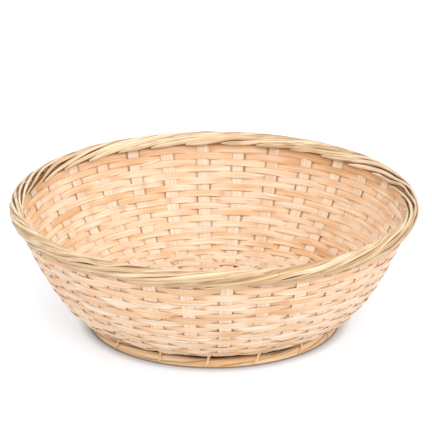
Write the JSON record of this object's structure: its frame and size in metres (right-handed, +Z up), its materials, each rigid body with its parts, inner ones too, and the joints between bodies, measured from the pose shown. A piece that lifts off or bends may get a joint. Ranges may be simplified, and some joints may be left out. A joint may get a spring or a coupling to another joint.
{
  "type": "woven bread basket",
  "caption": "Round shallow bowl-shaped basket of woven split bamboo with a rolled, twisted rim and a low ring foot, for holding bread or fruit.",
  "frame": {"origin": "on the basket's axis, on the plane that the foot stands on", "axes": "+Z up along the basket's axis, out of the mouth; +X and +Y run along the strips that cross in the base"},
  "size_m": [0.2504, 0.2504, 0.0799],
  "materials": {
    "stake_bamboo": "satin",
    "weaver_bamboo": "satin",
    "hoop_bamboo": "satin",
    "rim_bamboo": "satin",
    "foot_bamboo": "satin"
  },
  "bodies": {
    "root": {"stake_x1": "stake_bamboo", "stake_x2": "stake_bamboo", "stake_x3": "stake_bamboo", "stake_x4": "stake_bamboo", "stake_x5": "stake_bamboo", "stake_x6": "stake_bamboo", "stake_x7": "stake_bamboo", "stake_x8": "stake_bamboo", "stake_y1": "stake_bamboo", "stake_y2": "stake_bamboo", "stake_y3": "stake_bamboo", "stake_y4": "stake_bamboo", "stake_y5": "stake_bamboo", "stake_y6": "stake_bamboo", "stake_y7": "stake_bamboo", "stake_y8": "stake_bamboo", "base_weaver_1": "weaver_bamboo", "base_weaver_2": "weaver_bamboo", "base_weaver_3": "weaver_bamboo", "base_weaver_4": "weaver_bamboo", "base_weaver_5": "weaver_bamboo", "base_weaver_6": "weaver_bamboo", "wall_weaver_1": "weaver_bamboo", "wall_weaver_2": "weaver_bamboo", "wall_weaver_3": "weaver_bamboo", "wall_weaver_4": "weaver_bamboo", "wall_weaver_5": "weaver_bamboo", "wall_weaver_6": "weaver_bamboo", "wall_weaver_7": "weaver_bamboo", "wall_weaver_8": "weaver_bamboo", "wall_weaver_9": "weaver_bamboo", "wall_weaver_10": "weaver_bamboo", "wall_weaver_11": "weaver_bamboo", "wall_weaver_12": "weaver_bamboo", "wall_weaver_13": "weaver_bamboo", "wall_weaver_14": "weaver_bamboo", "wall_weaver_15": "weaver_bamboo", "wall_weaver_16": "weaver_bamboo", "wall_weaver_17": "weaver_bamboo", "wall_weaver_18": "weaver_bamboo", "wall_weaver_19": "weaver_bamboo", "rim_inner_hoop": "hoop_bamboo", "rim_outer_hoop": "hoop_bamboo", "rim_strands_1": "rim_bamboo", "rim_strands_2": "rim_bamboo", "rim_strands_3": "rim_bamboo", "rim_strands_4": "rim_bamboo", "rim_strands_5": "rim_bamboo", "rim_strands_6": "rim_bamboo", "rim_strands_7": "rim_bamboo", "rim_strands_8": "rim_bamboo", "foot_hoop": "foot_bamboo", "foot_strand_1": "foot_bamboo", "foot_strand_2": "foot_bamboo", "foot_strand_3": "foot_bamboo", "foot_ties": "foot_bamboo"}
  },
  "joints": []
}
